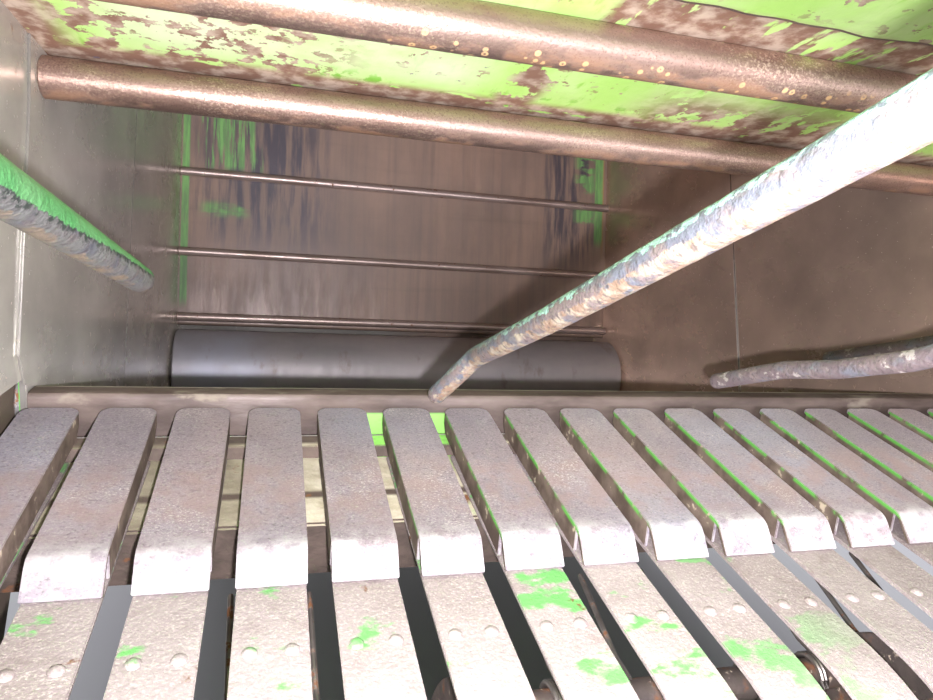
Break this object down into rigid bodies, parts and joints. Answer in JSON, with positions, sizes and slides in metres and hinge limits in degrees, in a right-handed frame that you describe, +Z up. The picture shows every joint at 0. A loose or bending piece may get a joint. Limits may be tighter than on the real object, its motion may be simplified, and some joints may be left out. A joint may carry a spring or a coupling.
{
  "type": "square baler pickup and intake chamber",
  "caption": "Square baler pickup and intake chamber: slatted deck, tined reel with stripper bands, crop guard tines, cross tubes and a steel chamber with a smooth roller.",
  "frame": {"origin": "centre of the four-hole bolt pattern on the rear faces of the two rear posts, where the unit is carried; the ground line is 0.55 m below it", "axes": "+Y from the pickup at the front to the posts at the rear, +Z up, +X to the right seen from the front of the machine looking rearward"},
  "size_m": [1.656, 1.976, 1.0878],
  "materials": {
    "chamber_steel": "crop-polished brown-grey sheet with rust stain and paint remains",
    "polished_tube": "brown crop-polished tube with small rust rings",
    "roller_steel": "smooth blue-grey polished steel",
    "green_sheet": "lime green paint with brown rust patches",
    "green_frame": "green paint, dusty and chipped at the edges",
    "sill_steel": "brown rusty bar with a pale worn edge",
    "slat_steel": "grey-brown dusty worn steel, green on the flanks",
    "band_steel": "grey-brown dusty worn steel",
    "worn_green_bar": "green paint worn to rusty steel underneath",
    "spring_steel": "worn spring wire",
    "reel_steel": "dark dusty paint",
    "bearing_iron": "greasy cast iron",
    "tyre_rubber": "dusty black rubber",
    "rim_paint": "grey painted disc"
  },
  "bodies": {
    "frame": {"left_side_wall": "chamber_steel", "right_side_wall": "chamber_steel", "left_liner": "chamber_steel", "right_liner": "chamber_steel", "floor_sheet": "chamber_steel", "back_plate": "chamber_steel", "back_bars": "polished_tube", "rear_cover": "green_frame", "chamber_roof": "green_sheet", "ceiling_sheet": "green_sheet", "front_hood": "green_sheet", "sill_bar": "sill_steel", "lower_cross_tube": "polished_tube", "upper_cross_tube": "polished_tube", "front_cross_member": "green_frame", "rear_cross_member": "green_frame", "rear_beam": "green_frame", "left_rear_post": "green_frame", "right_rear_post": "green_frame", "left_front_post": "green_frame", "right_front_post": "green_frame", "roller_bearings": "bearing_iron", "pivot_pins": "bearing_iron"},
    "roller": {"chamber_roller": "roller_steel"},
    "pickup": {"deck_slats": "slat_steel", "deck_rail": "green_frame", "pickup_beam": "green_frame", "stripper_bands": "band_steel", "band_lower_bar": "green_frame", "left_pickup_plate": "green_frame", "right_pickup_plate": "green_frame", "reel_bearings": "bearing_iron", "left_guard_arm": "green_frame", "right_guard_arm": "green_frame", "left_wheel_arm": "green_frame", "right_wheel_arm": "green_frame", "reel_drive_cover": "green_frame"},
    "reel": {"reel_shaft": "reel_steel", "tine_bars": "reel_steel", "reel_tines": "spring_steel"},
    "crop_guard": {"guard_tube": "green_frame", "guard_tines": "worn_green_bar"},
    "left_wheel": {"left_wheel_tyre": "tyre_rubber", "left_wheel_rim": "rim_paint"},
    "right_wheel": {"right_wheel_tyre": "tyre_rubber", "right_wheel_rim": "rim_paint"}
  },
  "joints": [
    {"name": "roller_spin", "type": "hinge", "parent": "frame", "child": "roller", "pos_m": [0, -0.174, -0.22], "axis": [1, 0, 0], "continuous": true},
    {"name": "pickup_float", "type": "hinge", "parent": "frame", "child": "pickup", "pos_m": [0, -1.174, -0.005], "axis": [-1, 0, 0], "range_deg": [0, 10]},
    {"name": "reel_spin", "type": "hinge", "parent": "pickup", "child": "reel", "pos_m": [0, -1.574, -0.27], "axis": [1, 0, 0], "continuous": true},
    {"name": "guard_lift", "type": "hinge", "parent": "pickup", "child": "crop_guard", "pos_m": [0, -1.94, 0.336], "axis": [1, 0, 0], "range_deg": [0, 12]},
    {"name": "left_wheel_spin", "type": "hinge", "parent": "pickup", "child": "left_wheel", "pos_m": [-0.761, -1.47, -0.35], "axis": [1, 0, 0], "continuous": true},
    {"name": "right_wheel_spin", "type": "hinge", "parent": "pickup", "child": "right_wheel", "pos_m": [0.761, -1.47, -0.35], "axis": [1, 0, 0], "continuous": true}
  ]
}
